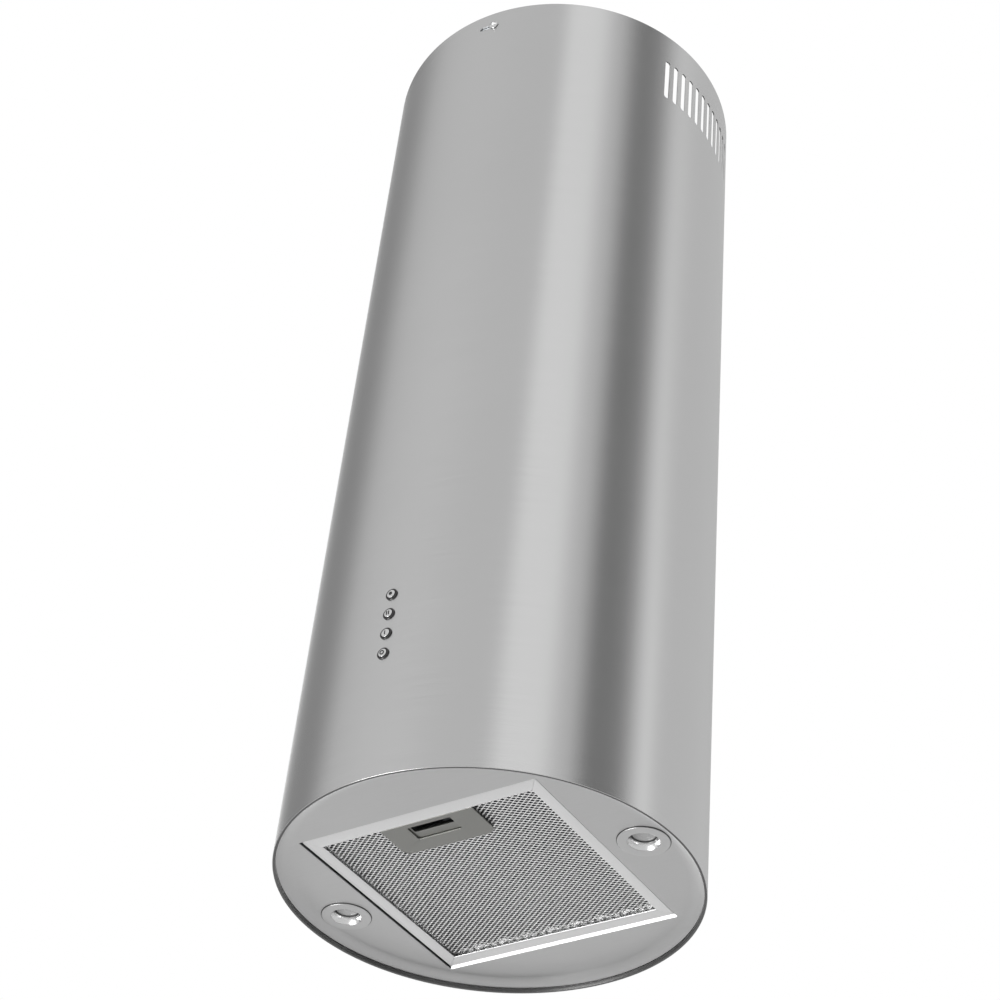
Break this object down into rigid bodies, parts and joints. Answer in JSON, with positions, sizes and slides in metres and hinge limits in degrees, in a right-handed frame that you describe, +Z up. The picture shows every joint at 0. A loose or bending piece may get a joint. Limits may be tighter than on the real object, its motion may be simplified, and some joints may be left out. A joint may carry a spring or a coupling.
{
  "type": "island range hood",
  "caption": "Cylindrical stainless island range hood hung from a ceiling bracket, with square grease filter, blower, duct collar, lamps and push buttons.",
  "frame": {"origin": "centre of the ceiling bracket's top face, where it meets the ceiling", "axes": "+Z up towards the ceiling along the casing; -Y is the front with the push buttons; +X is to the right seen from the front"},
  "size_m": [0.35, 0.354, 0.93],
  "materials": {
    "brushed_steel": "brushed round the casing",
    "plate_steel": "fine satin",
    "chrome": "polished",
    "galvanised": "zinc-coated sheet",
    "aluminium": "satin",
    "latch_metal": "satin grey",
    "lamp_glass": "frosted lens",
    "black_plastic": "moulded",
    "grey_plastic": "moulded",
    "circuit_board": "lacquered board"
  },
  "bodies": {
    "hood": {"casing_tube": "brushed_steel", "bottom_plate": "plate_steel", "motor_box": "galvanised", "ceiling_bracket": "galvanised", "hanging_screw_front": "chrome", "hanging_screw_rear": "chrome", "switch_block": "black_plastic", "switch_board": "circuit_board", "switch_bracket": "galvanised", "blower_housing": "grey_plastic", "inlet_ring_left": "grey_plastic", "inlet_ring_right": "grey_plastic", "fan_motor": "galvanised", "motor_spider": "galvanised", "outlet_collar": "grey_plastic", "flap_pin": "chrome", "control_box": "black_plastic", "control_box_lid": "grey_plastic", "capacitor": "aluminium", "terminal_block": "black_plastic", "cable_gland": "black_plastic", "plate_bracket_1": "galvanised", "button_bezel_1": "chrome", "plate_bracket_2": "galvanised", "button_bezel_2": "chrome", "plate_bracket_3": "galvanised", "button_bezel_3": "chrome", "plate_bracket_4": "galvanised", "button_bezel_4": "chrome", "upright_front_left": "galvanised", "upright_front_right": "galvanised", "upright_rear_left": "galvanised", "upright_rear_right": "galvanised", "lamp_ring_left": "chrome", "lamp_lens_left": "lamp_glass", "lamp_body_left": "aluminium", "lamp_ring_right": "chrome", "lamp_lens_right": "lamp_glass", "lamp_body_right": "aluminium"},
    "grease_filter": {"filter_frame": "aluminium", "filter_mesh": "aluminium", "latch_plate": "latch_metal", "latch_spring": "chrome"},
    "filter_latch": {"latch_slider": "latch_metal"},
    "fan_wheel": {"impeller": "black_plastic", "motor_shaft": "chrome"},
    "left_flap": {"flap_left": "grey_plastic"},
    "right_flap": {"flap_right": "grey_plastic"},
    "button_1": {"button_cap_1": "chrome"},
    "button_2": {"button_cap_2": "chrome"},
    "button_3": {"button_cap_3": "chrome"},
    "button_4": {"button_cap_4": "chrome"}
  },
  "joints": [
    {"name": "button_1_press", "type": "slide", "parent": "hood", "child": "button_1", "axis": [0, 1, 0], "range_m": [0, 0.0025], "stiffness_N_per_m": 300},
    {"name": "button_2_press", "type": "slide", "parent": "hood", "child": "button_2", "axis": [0, 1, 0], "range_m": [0, 0.0025], "stiffness_N_per_m": 300},
    {"name": "button_3_press", "type": "slide", "parent": "hood", "child": "button_3", "axis": [0, 1, 0], "range_m": [0, 0.0025], "stiffness_N_per_m": 300},
    {"name": "button_4_press", "type": "slide", "parent": "hood", "child": "button_4", "axis": [0, 1, 0], "range_m": [0, 0.0025], "stiffness_N_per_m": 300},
    {"name": "filter_swing", "type": "hinge", "parent": "hood", "child": "grease_filter", "pos_m": [0, 0.1096, -0.921], "axis": [1, 0, 0], "range_deg": [0, 70]},
    {"name": "latch_slide", "type": "slide", "parent": "grease_filter", "child": "filter_latch", "axis": [0, 1, 0], "range_m": [0, 0.006], "stiffness_N_per_m": 200, "deforming": ["latch_spring"]},
    {"name": "fan_spin", "type": "hinge", "parent": "hood", "child": "fan_wheel", "pos_m": [0, -0.018, -0.765], "axis": [1, 0, 0], "continuous": true},
    {"name": "left_flap_swing", "type": "hinge", "parent": "hood", "child": "left_flap", "pos_m": [0, 0, -0.5705], "axis": [0, 1, 0], "range_deg": [0, 75]},
    {"name": "right_flap_swing", "type": "hinge", "parent": "hood", "child": "right_flap", "pos_m": [0, 0, -0.5705], "axis": [0, -1, 0], "range_deg": [0, 75]}
  ]
}
